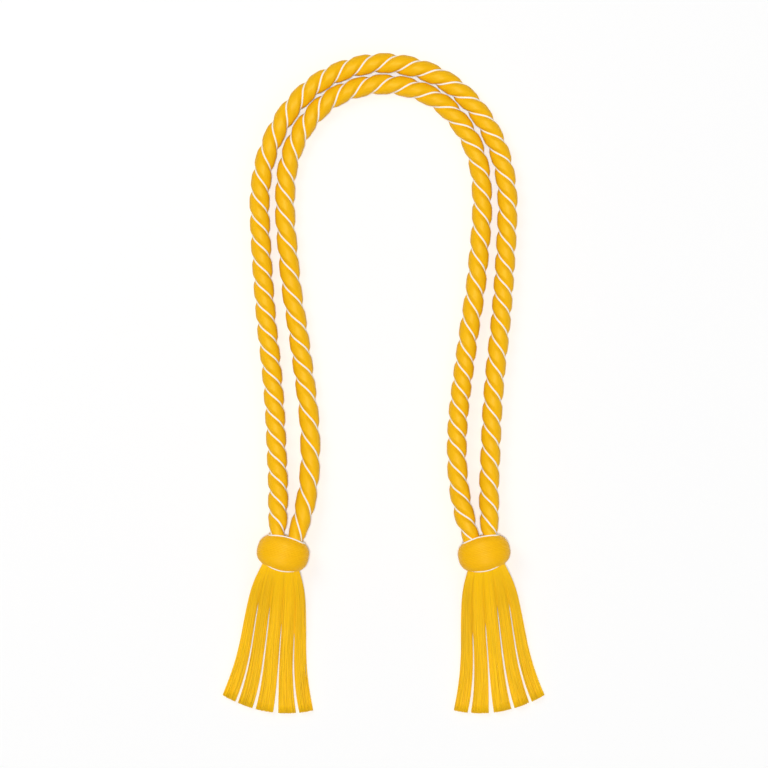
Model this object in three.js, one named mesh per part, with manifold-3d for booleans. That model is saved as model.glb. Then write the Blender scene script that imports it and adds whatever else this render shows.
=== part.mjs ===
// An honor cord laid flat in an arch: two ropes side by side, each of two twisted strands, gathered at each
// end by a wound oval knot with a tassel of five locks under it. Millimetres. +X is right and +Y is up
// towards the crown of the arch, as seen from above, and +Z is up from the surface that the cord lies on.
// The origin is on that surface, at the middle of the cord's outline.
import * as THREE from 'three';
import { mergeVertices } from 'three/addons/utils/BufferGeometryUtils.js';
import Module from 'manifold-3d';

const wasm = await Module();
wasm.setup();

// Fit between pieces that hold each other
const CLEARANCE = 0.3;

// Ropes
const ROPE_DIAMETER = 21; // over the crests of the strands
const ROPE_END_DIAMETER = 17.8; // where the knot squeezes it
const SQUEEZE_LENGTH = 26; // stretch over which the rope narrows
const SQUEEZED_LENGTH = 10; // stretch that stays narrow, up to the rope's end
const STRANDS = 2;
const STEPS_PER_TURN = 7.5;
const END_STEP = 0.5; // length of the short first and last steps
const CREST_SHARE = 0.25; // share of the way from a strand's crest to the groove where its outer face ends
const SHOULDER_SHARE = 0.6; // the same for its shoulder, where it turns in to the groove
const SHOULDER_DEPTH = 0.5; // of the shoulder below the crests
const GROOVE_DEPTH = 3.7; // of the groove between two strands, below the crests

// Each rope's route goes from the crown down the right leg, and the left leg is its mirror image. Its
// columns are x, y, and the height of the rope's underside above the surface. The strands turn left-handed.
// Seen from above, they show as lobes between the grooves. The columns of lobes are the distance along the
// rope past the crown, and the lobes counted to there from a groove near the crown. The lay is even from
// row to row.
const ROPES = [
  {
    name: 'rope_outer',
    side: 1, // the side of the knot that it enters, 1 away from the neck opening
    lean: 5, // degrees from +Y towards the neck opening where it leaves the knot
    lobes: [
      [-599, -26],
      [-424, -18],
      [-288, -12],
      [-172, -7],
      [-94, -4],
      [145, 6],
      [283, 12],
      [346, 15],
      [605, 26],
    ],
    route: [
      [0, 337.5, 0],
      [35.8, 331.9, 0],
      [68.3, 316.8, 0],
      [94.6, 293.0, 0],
      [113.5, 264.0, 0],
      [125.4, 232.1, 0],
      [130.3, 198.5, 0],
      [130.3, 172.2, 0],
      [128.8, 140.6, 0],
      [126.1, 98.5, 0],
      [122.5, 56.3, 0],
      [117.9, 14.2, 0],
      [114.6, -27.9, 0.1],
      [112.7, -70.0, 0.9],
      [111.0, -112.1, 4.0],
      [111.3, -138.5, 7.2],
    ],
  },
  {
    name: 'rope_inner',
    side: -1,
    lean: 15,
    lobes: [
      [-588, -22],
      [-379, -15],
      [-307, -12],
      [-197, -8],
      [341, 14],
      [442, 19],
      [589, 25],
    ],
    route: [
      [0, 315.1, 0],
      [30.0, 310.6, 0],
      [57.4, 298.0, 0],
      [78.6, 277.1, 0],
      [93.3, 252.4, 0],
      [101.3, 225.6, 0],
      [103.7, 198.5, 0],
      [103.5, 172.2, 0],
      [100.9, 140.6, 0],
      [96.7, 98.5, 0],
      [90.3, 56.3, 0],
      [84.5, 14.2, 0],
      [79.3, -27.9, 0.1],
      [77.3, -59.5, 0.5],
      [77.5, -85.8, 1.8],
      [79.8, -112.1, 4.0],
      [85.0, -138.5, 7.2],
    ],
  },
];

// Knots
const KNOT_WIDTH = 55.8; // across both ropes
const KNOT_LENGTH = 38; // along the cord
const KNOT_THICKNESS = 38;
const KNOT_SQUARENESS = 2.5; // 2 is an ellipse, more is fuller at the corners
const KNOT_TILT = 13.5; // degrees, its outer end is the higher one
const KNOT_X = 105.8; // from the middle of the cord to the knot's centre
const KNOT_Y = -178.5;
const KNOT_SIDES = 24;
const KNOT_STEPS = 12; // from end to end of its profile
const ROPE_GAP = 1; // between the two ropes in the knot
const ROPE_SEAT = 10.6; // from the knot's upper end down to the ropes' ends

// Tassels
const TASSEL_TILT = 5.5; // degrees, the hem swings outwards
const NECK_WIDTH = 39.2;
const NECK_THICKNESS = 19;
const NECK_INSET = 4.3; // from the knot's lower end up to the neck, where the skirt starts
const NECK_SEAT = 8.4; // how far the neck goes up into the knot from there
const SKIRT_LENGTH = 153.8; // from the neck to the longest lock's hem
const HEM_WIDTH = 96.3;
const HEM_THICKNESS = 7;
const HEM_CURVE = 0.06; // share of the length lost at one half-width away from the longest lock
const HEM_PEAK = 0.2; // place of the longest lock, as a share of the half-width towards the neck opening
const LOCK_DIP = 0.58; // depth of the furrow between two locks at the hem, as a share of the thickness
const HEM_SQUARENESS = 4.5; // of the section at the hem, where 2 is an ellipse
const NECK_EDGE = 0.12; // share of the neck's thickness that stays as a small flat at each side
const SLIT_TAPER = 0.7; // 1 opens a slit evenly from its top to the hem, less opens it sooner
const LOCK_POINTS = [0, 0.2, 0.5, 0.8]; // places across a lock, as shares of its width

// A row for each station down the skirt. down is its share of the skirt's length, flare its share of the
// way from the neck's width to the hem's, bulk the same from the hem's thickness to the neck's, lift the
// underside's height as a share of the neck's, and locks how far the locks have parted from a round bundle.
const SKIRT = [
  { down: 0, flare: 0, bulk: 1, lift: 1, locks: 0 },
  { down: 0.05, flare: 0.1, bulk: 0.95, lift: 0.7, locks: 0 },
  { down: 0.1, flare: 0.2, bulk: 0.86, lift: 0.35, locks: 0.1 },
  { down: 0.18, flare: 0.31, bulk: 0.72, lift: 0.08, locks: 0.3 },
  { down: 0.26, flare: 0.38, bulk: 0.58, lift: 0, locks: 0.5 },
  { down: 0.38, flare: 0.44, bulk: 0.42, lift: 0, locks: 0.7 },
  { down: 0.5, flare: 0.49, bulk: 0.3, lift: 0, locks: 0.85 },
  { down: 0.62, flare: 0.55, bulk: 0.2, lift: 0, locks: 0.95 },
  { down: 0.74, flare: 0.65, bulk: 0.12, lift: 0, locks: 1 },
  { down: 0.87, flare: 0.81, bulk: 0.05, lift: 0, locks: 1 },
  { down: 1, flare: 1, bulk: 0, lift: 0, locks: 1 },
];

// A row for each slit between two locks. across is its place as a share of the half-width, positive towards
// the neck opening, top the share of the skirt's length where it starts, and gap its width at the hem.
const SLITS = [
  { across: -0.68, top: 0.25, gap: 2.8 },
  { across: -0.28, top: 0.26, gap: 4.4 },
  { across: 0.18, top: 0.385, gap: 6.4 },
  { across: 0.63, top: 0.435, gap: 4.3 },
];

const CORD_COLOUR = 0xfabd0e;

const rad = THREE.MathUtils.degToRad;
const smooth = (x) => THREE.MathUtils.smoothstep(x, 0, 1);
const ropeRadius = ROPE_DIAMETER / 2;
const squeezedShare = ROPE_END_DIAMETER / ROPE_DIAMETER;
const knotMiddle = KNOT_THICKNESS / 2;
const ropeEndUp = KNOT_LENGTH / 2 - ROPE_SEAT;
const neckDown = KNOT_LENGTH / 2 - NECK_INSET;

function cordMaterial(roughness) {
  return new THREE.MeshStandardMaterial({ color: CORD_COLOUR, roughness, metalness: 0 });
}

// A closed mesh with each corner stored once and no triangle of zero width
function weld(geometry) {
  const bare = geometry.clone();
  bare.deleteAttribute('normal');
  bare.deleteAttribute('uv');
  const merged = mergeVertices(bare, 1e-5);
  const index = merged.index.array;
  const kept = [];
  for (let i = 0; i < index.length; i += 3) {
    const [a, b, c] = index.slice(i, i + 3);
    if (a !== b && b !== c && c !== a) kept.push(a, b, c);
  }
  merged.setIndex(kept);
  return merged;
}

function toSolid(geometry) {
  const merged = weld(geometry);
  return new wasm.Manifold(new wasm.Mesh({
    numProp: 3,
    vertProperties: new Float32Array(merged.attributes.position.array),
    triVerts: new Uint32Array(merged.index.array),
  }));
}

function toGeometry(solid) {
  const mesh = solid.getMesh();
  const geometry = new THREE.BufferGeometry();
  geometry.setAttribute('position', new THREE.BufferAttribute(mesh.vertProperties, 3));
  geometry.setIndex(new THREE.BufferAttribute(mesh.triVerts, 1));
  geometry.computeVertexNormals();
  return geometry;
}

// Reads one column of a table off another, by straight lines from row to row
function readOff(rows, given, wanted, value) {
  const next = rows.findIndex((row, i) => i > 0 && (row[given] >= value || i === rows.length - 1));
  const [a, b] = [rows[next - 1], rows[next]];
  return a[wanted] + ((b[wanted] - a[wanted]) * (value - a[given])) / (b[given] - a[given]);
}

// Moves each vertex of a geometry to where place(vertex) says
function reshape(geometry, place) {
  const position = geometry.attributes.position;
  const vertex = new THREE.Vector3();
  for (let i = 0; i < position.count; i += 1) {
    const moved = place(vertex.fromBufferAttribute(position, i));
    position.setXYZ(i, moved.x, moved.y, moved.z);
  }
  const welded = weld(geometry);
  welded.computeVertexNormals();
  return welded;
}

// A point given in a knot's own frame: across it away from the neck opening, up along the cord, and above
// the surface
function knotPoint(across, up, height) {
  return new THREE.Vector3(across, up, 0)
    .applyAxisAngle(new THREE.Vector3(0, 0, 1), rad(KNOT_TILT))
    .add(new THREE.Vector3(KNOT_X, KNOT_Y, height));
}

// The whole centre line of a rope, from the left knot over the crown to the right knot
function ropeCurve(rope) {
  const end = knotPoint((rope.side * (ROPE_END_DIAMETER + ROPE_GAP)) / 2, ropeEndUp, knotMiddle);
  const out = new THREE.Vector3(-Math.sin(rad(rope.lean)), Math.cos(rad(rope.lean)), 0);
  const half = rope.route.map(([x, y, lift]) => new THREE.Vector3(x, y, ropeRadius + lift));
  half.push(end.clone().addScaledVector(out, 2 * SQUEEZED_LENGTH));
  half.push(end.clone().addScaledVector(out, SQUEEZED_LENGTH));
  half.push(end);
  const mirrored = half.slice(1).reverse().map((p) => new THREE.Vector3(-p.x, p.y, p.z));
  const curve = new THREE.CatmullRomCurve3([...mirrored, ...half], false, 'centripetal');
  curve.arcLengthDivisions = 2000;
  return curve;
}

// The outline made larger all round by one distance. Its points turn to the left.
function outset(points, distance) {
  return points.map((point, i) => {
    const before = points.at(i - 1);
    const after = points[(i + 1) % points.length];
    const [n1, n2] = [[before, point], [point, after]].map(([from, to]) => {
      const edge = new THREE.Vector2().subVectors(to, from).normalize();
      return new THREE.Vector2(edge.y, -edge.x);
    });
    return point.clone().addScaledVector(n1.clone().add(n2), distance / (1 + n1.dot(n2)));
  });
}

// The soft strands pressed together, as one outline that is round over their crests, with a groove between
// each two
function ropeSection(grow) {
  const half = [
    [CREST_SHARE, 0],
    [SHOULDER_SHARE, SHOULDER_DEPTH],
    [1, GROOVE_DEPTH],
  ];
  const points = [];
  for (let k = 0; k < STRANDS; k += 1) {
    const rows = [...half.slice(0, -1).reverse().map(([share, depth]) => [-share, depth]), ...half];
    for (const [share, depth] of rows) {
      const angle = ((2 * k + share) * Math.PI) / STRANDS;
      const reach = ropeRadius - depth;
      points.push(new THREE.Vector2(reach * Math.cos(angle), reach * Math.sin(angle)));
    }
  }
  return new THREE.Shape(outset(points, grow));
}

// The rope's diameter at a distance from its nearer end, as a share of the full one
function ropeShare(fromEnd) {
  return THREE.MathUtils.lerp(squeezedShare, 1, smooth((fromEnd - SQUEEZED_LENGTH) / SQUEEZE_LENGTH));
}

// A straight twisted bar, laid along the rope's route with the same twist in each step. grow makes its
// narrow ends that much larger all over, as a cutter for their sockets.
function ropeGeometry(rope, grow = 0) {
  const curve = ropeCurve(rope);
  const length = curve.getLength();
  const lobesAt = (along) => readOff(rope.lobes, 0, 1, along - length / 2);
  const [first, last] = [lobesAt(END_STEP), lobesAt(length - END_STEP)];
  const steps = Math.round(((last - first) / STRANDS) * STEPS_PER_TURN) + 2;
  const inner = Array.from({ length: steps - 1 }, (_, i) => {
    const lobes = THREE.MathUtils.lerp(first, last, i / (steps - 2));
    return readOff(rope.lobes, 1, 0, lobes) + length / 2;
  });
  const stations = [0, ...inner, length];
  const section = ropeSection(grow / squeezedShare);
  const options = { steps, depth: length, bevelEnabled: false, curveSegments: 1 };
  const bar = new THREE.ExtrudeGeometry(section, options);
  return reshape(bar, (vertex) => {
    const along = stations[Math.round((vertex.z / length) * steps)];
    const tangent = curve.getTangentAt(along / length);
    const up = new THREE.Vector3(0, 0, 1).addScaledVector(tangent, -tangent.z).normalize();
    const across = new THREE.Vector3().crossVectors(up, tangent);
    const radius = Math.hypot(vertex.x, vertex.y) * ropeShare(Math.min(along, length - along));
    const pastEnd = along === 0 ? -grow : along === length ? grow : 0;
    const angle = Math.atan2(vertex.y, vertex.x) - (2 * Math.PI * lobesAt(along + pastEnd)) / STRANDS;
    return curve.getPointAt(along / length)
      .addScaledVector(tangent, pastEnd)
      .addScaledVector(across, radius * Math.cos(angle))
      .addScaledVector(up, radius * Math.sin(angle));
  });
}

// The places across the skirt, as shares of its half-width, where it has a line of vertices: each slit,
// each side and a few between them
function skirtColumns(mirror) {
  const edges = [-1, ...SLITS.map((slit) => slit.across), 1];
  const columns = [];
  for (let i = 0; i + 1 < edges.length; i += 1) {
    for (const share of LOCK_POINTS) {
      columns.push({
        across: mirror * (edges[i] + (edges[i + 1] - edges[i]) * share),
        dip: (2 * Math.abs(share - 0.5)) ** 3,
      });
    }
  }
  columns.push({ across: mirror, dip: 1 });
  return mirror > 0 ? columns : columns.reverse();
}

// A point of the skirt in the tassel's own frame, before it has any height
function skirtPlace(across, down, halfWidth, mirror) {
  const length = SKIRT_LENGTH * (1 - HEM_CURVE * (mirror * across - HEM_PEAK) ** 2);
  return new THREE.Vector3(across * halfWidth, -neckDown - length * down, 0);
}

function skirtHalfWidth(flare) {
  return (NECK_WIDTH + (HEM_WIDTH - NECK_WIDTH) * flare) / 2;
}

// The skirt and its neck as one closed body, without its slits. grow makes it larger all over, as a cutter.
function skirtGeometry(mirror, grow = 0) {
  const rows = [{ ...SKIRT[0], down: -(NECK_SEAT + grow) / SKIRT_LENGTH }, ...SKIRT];
  const columns = skirtColumns(mirror);
  const neckLift = knotMiddle - NECK_THICKNESS / 2;
  const grid = new THREE.BoxGeometry(1, 1, 1, columns.length - 1, 1, rows.length - 1);
  return reshape(grid, (vertex) => {
    const column = columns[Math.round((vertex.x + 0.5) * (columns.length - 1))];
    const row = rows[Math.round((vertex.z + 0.5) * (rows.length - 1))];
    const { across } = column;
    const halfThickness = (HEM_THICKNESS + (NECK_THICKNESS - HEM_THICKNESS) * row.bulk) / 2;
    const middle = neckLift * row.lift + halfThickness;
    const power = THREE.MathUtils.lerp(2, HEM_SQUARENESS, row.locks);
    const furrow = 1 - 2 * LOCK_DIP * column.dip * row.locks;
    const dome = Math.max(0, 1 - Math.abs(across) ** power) ** (1 / power) * furrow;
    const flat = THREE.MathUtils.lerp(NECK_EDGE, 1, smooth(1 - row.lift));
    const belly = (1 - flat) * Math.sqrt(Math.max(0, 1 - across * across)) + flat;
    const point = skirtPlace(across, row.down, skirtHalfWidth(row.flare) + grow, mirror);
    point.z = vertex.y > 0 ? middle + halfThickness * dome + grow : middle - halfThickness * belly - grow;
    return point;
  });
}

// The wedge of air in one slit, taller than the skirt and open past the hem
function slitGeometry(slit, mirror) {
  const past = 1.05;
  const stations = [slit.top, ...SKIRT.map((row) => row.down).filter((down) => down > slit.top), past];
  const edge = (side) => stations.map((down) => {
    const open = (slit.gap / 2) * ((down - slit.top) / (1 - slit.top)) ** SLIT_TAPER;
    const halfWidth = skirtHalfWidth(readOff(SKIRT, 'down', 'flare', down));
    const middle = skirtPlace(mirror * slit.across, down, halfWidth, mirror);
    return new THREE.Vector2(middle.x + side * open, middle.y);
  });
  const outline = new THREE.Shape([...edge(-1), ...edge(1).reverse().slice(0, -1)]);
  const wedge = new THREE.ExtrudeGeometry(outline, { depth: 2 * NECK_THICKNESS, bevelEnabled: false });
  return wedge.translate(0, 0, -NECK_THICKNESS / 2);
}

// An oval body of revolution about the cord's own line, flattened to its thickness
function knotGeometry() {
  const profile = [];
  for (let i = 0; i <= KNOT_STEPS; i += 1) {
    const angle = -Math.PI / 2 + (Math.PI * i) / KNOT_STEPS;
    const [c, s] = [Math.cos(angle), Math.sin(angle)];
    profile.push(new THREE.Vector2(
      i === 0 || i === KNOT_STEPS ? 0 : (KNOT_WIDTH / 2) * c ** (2 / KNOT_SQUARENESS),
      (KNOT_LENGTH / 2) * Math.sign(s) * Math.abs(s) ** (2 / KNOT_SQUARENESS),
    ));
  }
  return new THREE.LatheGeometry(profile, KNOT_SIDES).scale(1, 1, KNOT_THICKNESS / KNOT_WIDTH);
}

// Where a knot or tassel lies: side is 1 for the right end and -1 for the left
function endPlace(side, tilt, height) {
  return new THREE.Matrix4()
    .makeRotationZ(side * rad(tilt))
    .setPosition(side * KNOT_X, KNOT_Y, height);
}

// Ropes, knots and tassels
const honorCord = new THREE.Group();
const ropeMaterial = cordMaterial(0.5);
const knotMaterial = cordMaterial(0.55);
const fringeMaterial = cordMaterial(0.6);

for (const rope of ROPES) {
  const mesh = new THREE.Mesh(ropeGeometry(rope), ropeMaterial);
  mesh.name = rope.name;
  honorCord.add(mesh);
}

for (const [name, side] of [['left', -1], ['right', 1]]) {
  const towardsNeck = -side;
  const tasselPlace = endPlace(side, TASSEL_TILT, 0);

  let skirt = toSolid(skirtGeometry(towardsNeck));
  for (const slit of SLITS) skirt = skirt.subtract(toSolid(slitGeometry(slit, towardsNeck)));
  const tassel = new THREE.Mesh(toGeometry(skirt).applyMatrix4(tasselPlace), fringeMaterial);
  tassel.name = `tassel_${name}`;
  honorCord.add(tassel);

  let body = toSolid(knotGeometry().applyMatrix4(endPlace(side, KNOT_TILT, knotMiddle)));
  body = body.subtract(toSolid(skirtGeometry(towardsNeck, CLEARANCE).applyMatrix4(tasselPlace)));
  for (const rope of ROPES) body = body.subtract(toSolid(ropeGeometry(rope, CLEARANCE)));
  const knot = new THREE.Mesh(toGeometry(body), knotMaterial);
  knot.name = `knot_${name}`;
  honorCord.add(knot);
}

export default honorCord;
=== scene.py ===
"""An honor cord laid flat in an arch: two ropes side by side, each of two twisted strands of satin yarn, a
wound knot over each pair of rope ends, and a tassel of five locks of loose threads under each knot. Metres,
with +X to the right and +Y up towards the crown of the arch as seen from above, and +Z up from the surface
that the cord lies on."""
import math

import bpy
import numpy as np
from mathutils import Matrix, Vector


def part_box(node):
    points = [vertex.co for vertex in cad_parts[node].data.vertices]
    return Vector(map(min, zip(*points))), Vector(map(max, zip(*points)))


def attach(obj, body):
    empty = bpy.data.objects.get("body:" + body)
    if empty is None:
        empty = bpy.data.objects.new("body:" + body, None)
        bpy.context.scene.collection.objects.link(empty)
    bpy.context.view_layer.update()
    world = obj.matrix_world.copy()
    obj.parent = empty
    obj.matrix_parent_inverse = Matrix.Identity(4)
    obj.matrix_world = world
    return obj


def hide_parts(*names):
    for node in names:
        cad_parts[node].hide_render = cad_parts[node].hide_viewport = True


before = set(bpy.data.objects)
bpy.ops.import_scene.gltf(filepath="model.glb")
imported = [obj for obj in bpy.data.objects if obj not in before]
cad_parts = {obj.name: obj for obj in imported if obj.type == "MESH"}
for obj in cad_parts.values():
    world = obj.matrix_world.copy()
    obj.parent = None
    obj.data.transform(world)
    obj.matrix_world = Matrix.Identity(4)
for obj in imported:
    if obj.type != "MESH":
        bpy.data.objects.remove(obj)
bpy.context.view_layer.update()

bl_info = {
    "name": "Honor Cord",
    "version": (1, 0, 0),
    "blender": (4, 5, 0),
    "location": "3D View > Sidebar > Honor Cord",
    "description": "Makes a laid honor cord with twisted ropes, wound knots and tassels",
    "category": "Add Mesh",
}

MM = 0.001
BODY = "root"

# Each rope's route from the crown down the right leg, in millimetres. The left leg is its mirror image.
# Columns: x, y, and the height of the rope's underside above the surface. side is 1 where the rope enters the
# knot away from the neck opening, lean the degrees from +Y towards the opening where it leaves the knot, and
# length that of the whole rope, in metres. The columns of lobes are the distance along the rope past the
# crown, in millimetres, and the lobes of the strands counted to there from a groove near the crown.
ROPES = {
    "rope_outer": {
        "side": 1,
        "lean": 5,
        "length": 1.157,
        "lobes": (
            (-599, -26), (-424, -18), (-288, -12), (-172, -7), (-94, -4),
            (145, 6), (283, 12), (346, 15), (605, 26),
        ),
        "route": (
            (0, 337.5, 0), (35.8, 331.9, 0), (68.3, 316.8, 0), (94.6, 293.0, 0), (113.5, 264.0, 0),
            (125.4, 232.1, 0), (130.3, 198.5, 0), (130.3, 172.2, 0), (128.8, 140.6, 0), (126.1, 98.5, 0),
            (122.5, 56.3, 0), (117.9, 14.2, 0), (114.6, -27.9, 0.1), (112.7, -70.0, 0.9),
            (111.0, -112.1, 4.0), (111.3, -138.5, 7.2),
        ),
    },
    "rope_inner": {
        "side": -1,
        "lean": 15,
        "length": 1.100,
        "lobes": ((-588, -22), (-379, -15), (-307, -12), (-197, -8), (341, 14), (442, 19), (589, 25)),
        "route": (
            (0, 315.1, 0), (30.0, 310.6, 0), (57.4, 298.0, 0), (78.6, 277.1, 0), (93.3, 252.4, 0),
            (101.3, 225.6, 0), (103.7, 198.5, 0), (103.5, 172.2, 0), (100.9, 140.6, 0), (96.7, 98.5, 0),
            (90.3, 56.3, 0), (84.5, 14.2, 0), (79.3, -27.9, 0.1), (77.3, -59.5, 0.5), (77.5, -85.8, 1.8),
            (79.8, -112.1, 4.0), (85.0, -138.5, 7.2),
        ),
    },
}

# Ropes
ROPE_END_DIAMETER = 17.8 * MM  # where a knot squeezes them
SQUEEZED_LENGTH = 10 * MM  # of a rope's end, at that diameter
SQUEEZE_LENGTH = 26 * MM  # over which it widens from there
ROPE_RINGS = 860
ROPE_STRIPS = 24  # that a rope is cut into on the flat layout
STRAND_SAMPLES = 2001
FALL_SAMPLES = 200
OUTLINE_STEPS = 1440
OUTLINE_NEAR = 4  # steps to either side by which the outline's direction is measured
STRANDS = 2
STRAND_MIDDLE = 0.36  # widest place of a strand, as a share of the rope's radius out from its centre
STRAND_SQUARENESS = 2.25  # 2 is an ellipse, more is fuller at the shoulders
STRAND_FALL = 2.4  # power by which a strand falls off into the groove
HOLLOW_START = 0.1  # depth below the crests where the painted shade of the groove starts, as a share of the rope's radius
HOLLOW_REACH = 0.3  # how much deeper the painted shade is darkest

# Pale yarns. A rise is that of the yarn's centre line.
PALE_YARN_SIDES = 8
PALE_YARN_STRIPS = 12
PALE_YARN_LAY = 12 * MM
FILLER_RISE = 0.7  # over the groove's bottom, as a share of the yarn's radius
LOOP_TURN = (-0.49 * math.pi, 1.49 * math.pi)  # the loops at the knots start and end underneath
LOOP_STEPS = 120
MOUTH_HALF = (19.6, 9.8)  # half-width and half-height of the loop in the knot's mouth, in millimetres
MOUTH_SQUARENESS = 3
MOUTH_RISE = 0.2 * MM  # over the knot's surface
# The neck's loop seen from above: its lowest point, towards the neck opening and up the cord from the knot's
# centre in millimetres, and how much it bends up from there on both sides, in each millimetre
NECK_LOW = (1, -18.6)
NECK_BOW = 0.0135
NECK_RISE = 0.3  # over the threads, as a share of the yarn's diameter

# Knots
KNOT_PLACE = (105.8 * MM, -178.5 * MM)
KNOT_TILT = math.radians(13.5)
KNOT_SQUARENESS = 2.5
KNOT_SIDES = 120
KNOT_SAMPLES = 6001
KNOT_SEED = 7
ROPE_GAP = 1 * MM
ROPE_END_UP = 8.4 * MM  # from the knot's centre up to the ropes' ends
WINDING_STEPS = 6  # rings from one turn of yarn to the next
WINDING_SWAY = (0.35, 0.2)  # of the turns along the knot, once and twice round it, in turns
WINDING_UNEVEN = 0.06 * MM  # spread of the turns' heights
WINDING_LIMIT = 0.1 * MM  # the most that a turn stands out or lies low
WINDING_TONES = 0.35  # the most that a turn's tone is off the middle tone

# Tassels
TASSEL_TILT = math.radians(5.25)
TASSEL_OUT = 1.6 * MM  # how far the neck lies from the knot's centre, away from the neck opening
TASSEL_SEED = 40
NECK_DOWN = 14.7 * MM  # from the knot's centre down to the neck
NECK_SEAT = 6 * MM  # how far the threads go up into the knot from there
NECK_EDGE = 0.12  # depth of the raised neck's underside at its sides, as a share of that in its middle
HEM_CURVE = 0.06  # share by which the skirt is shorter a half-width away from its longest place
HEM_PEAK = 0.2  # that place, as a share of the half-width towards the neck opening
HEM_SQUARENESS = 4.5  # of the skirt's upper side where the locks have parted
LOCK_DIP = 0.58  # of a lock's edges below its middle, as a share of the skirt's thickness
LOCK_DIP_POWER = 3
# Columns: share of the skirt's length, flare, bulk, lift of the underside, and how far the locks have parted.
# The first and last rows are past its ends.
SKIRT = np.array((
    (-0.08, -0.16, 1, 1, 0), (0, 0, 1, 1, 0), (0.05, 0.1, 0.95, 0.7, 0), (0.1, 0.2, 0.86, 0.35, 0.1),
    (0.18, 0.31, 0.72, 0.08, 0.3), (0.26, 0.38, 0.58, 0, 0.5), (0.38, 0.45, 0.42, 0, 0.7),
    (0.5, 0.505, 0.3, 0, 0.85), (0.62, 0.565, 0.2, 0, 0.95), (0.74, 0.66, 0.12, 0, 1),
    (0.87, 0.81, 0.05, 0, 1), (1, 1, 0, 0, 1), (1.04, 1.058, 0, 0, 1),
))
# Places along the skirt, before and after each share of its length, over which the table is averaged
SKIRT_EASE = 0.06 * np.array((-0.5, -0.25, 0, 0.25, 0.5))
# Columns: place across as a share of the half-width towards the neck opening, share of the skirt's length
# where the slit starts, how much it widens to the hem in millimetres, the power by which it does, and how far
# its place moves
SLITS = (
    (-0.64, 0.25, 1.9, 2, -0.04), (-0.23, 0.26, 2.6, 2, -0.06),
    (0.21, 0.385, 4.3, 3, -0.02), (0.63, 0.435, 2.7, 2, 0.04),
)
SLIT_WIDTH = 1.1 * MM
SLIT_POINT = 0.12  # share of a slit's length over which it opens to that width
SLIT_MOVE_POWER = 5

# Threads
THREAD_SIDES = 5
THREAD_BEND = 0.26  # share of a thread's length, from the neck, over which it bends most
BEND_ROWS = 7  # of points, over that part
STRAIGHT_ROWS = 14  # over the rest
THREAD_AT_NECK = 0.74  # thickness, as a share of that at the hem
LAYER_STEP = 0.92  # from one layer of threads to the next, in threads
STRAY_SIDEWAYS = (0.12, 0.35)  # of outer and inner threads, in threads
STRAY_UP = 0.3  # of inner threads, in layers
WAVE_HEIGHT = (0.1 * MM, 0.45 * MM)  # least and most
WAVE_COUNT = (0.7, 2.2)  # along a thread, least and most
WAVE_UP = 0.5  # waves up and down, as a share of those sideways
SIDE_ROOM = 0.6  # least from a lock's side to a thread's middle, as a share of the thread's radius
TUFTS = (9.0, 21.0)  # waves across a lock, in radians, that draw its threads together in tufts
TUFT_DEPTH = 0.6 * MM
TRIM = 0.007  # the most that a thread is cut short, as a share of its length
PATTERN_SHIFT = 5  # the most by which a thread's pattern is shifted along it
INNER_THREAD_SHADE = 0.12  # how much painted shade darkens the inner threads, which lie under their neighbours

# Finish of the yarns, with how much each effect adds to their lightness, roughness and height; painted shade
# lowers the lightness
MIDDLE_TONE = 0.5
FIBRES_ACROSS = 6.0  # in one yarn
PATCH_STEP = 0.77  # in the noise, from one yarn to the next
TONE_STEP = 37.0  # in the noise, from the darkest tone to the lightest
FIBRE_LIGHT = 1.25
PATCH_LIGHT = 0.7
TONE_LIGHT = 0.3
# Painted shade: how much the groove's shade darkens the yarn's colour
HOLLOW_SHADE_DARK = 0.5
ROUGHNESS = 0.30
FIBRE_ROUGHNESS = 0.22
FURROW_ROUGHNESS = 0.15
FIBRE_HEIGHT = 0.45
FURROW_HEIGHT = -0.55

# Flat layout of the yarns
LAYOUT_GAP = 0.002  # share of its side
MOST_COLUMNS = 59
CAP_ROOM = 0.4  # beside a strip for its end, as a share of the length round it

# Camera and stage
PICTURE_SIDE = 768
MM_PER_PIXEL = 1.053
MEASURED_HEIGHT = 10.5 * MM  # above the surface, where a pixel is that wide
CAMERA_HEIGHT = 9.0
FLOOR_REACH = 15
FLOOR_DROP = 0.3 * MM
# Columns: name, place, diameter, power and colour
LAMPS = (
    ("Key", (-1.6, 1.3, 2.6), 1.6, 13, (1, 0.985, 0.96)),
    ("Fill", (1.9, -1.2, 2.4), 2.2, 5, (0.97, 0.985, 1)),
)


class RopeSizes(bpy.types.PropertyGroup):
    """Sizes of the two ropes."""

    diameter: bpy.props.FloatProperty(
        name="Diameter", description="Over the crests of the strands", default=0.021, unit="LENGTH")
    groove: bpy.props.FloatProperty(
        name="Groove depth", description="Of the groove between the strands, below their crests",
        default=0.0037, unit="LENGTH")
    strand_width: bpy.props.FloatProperty(
        name="Strand width",
        description="Of one strand, side to side, where it is pressed against the other",
        default=0.0159, unit="LENGTH")
    yarns: bpy.props.IntProperty(
        name="Yarns", description="Yarns round both strands", default=46, min=6, max=48)
    yarn_depth: bpy.props.FloatProperty(
        name="Yarn depth", description="Depth of the furrow between two yarns", default=0.00022,
        unit="LENGTH")
    yarn_slope: bpy.props.FloatProperty(
        name="Yarn slope", description="Angle of the yarns to the rope's line on a strand's crest",
        default=math.radians(13), subtype="ANGLE")
    filler: bpy.props.FloatProperty(
        name="Filler yarn",
        description="Diameter of the pale yarn that lies in each groove between two strands",
        default=0.002, unit="LENGTH")


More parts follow.
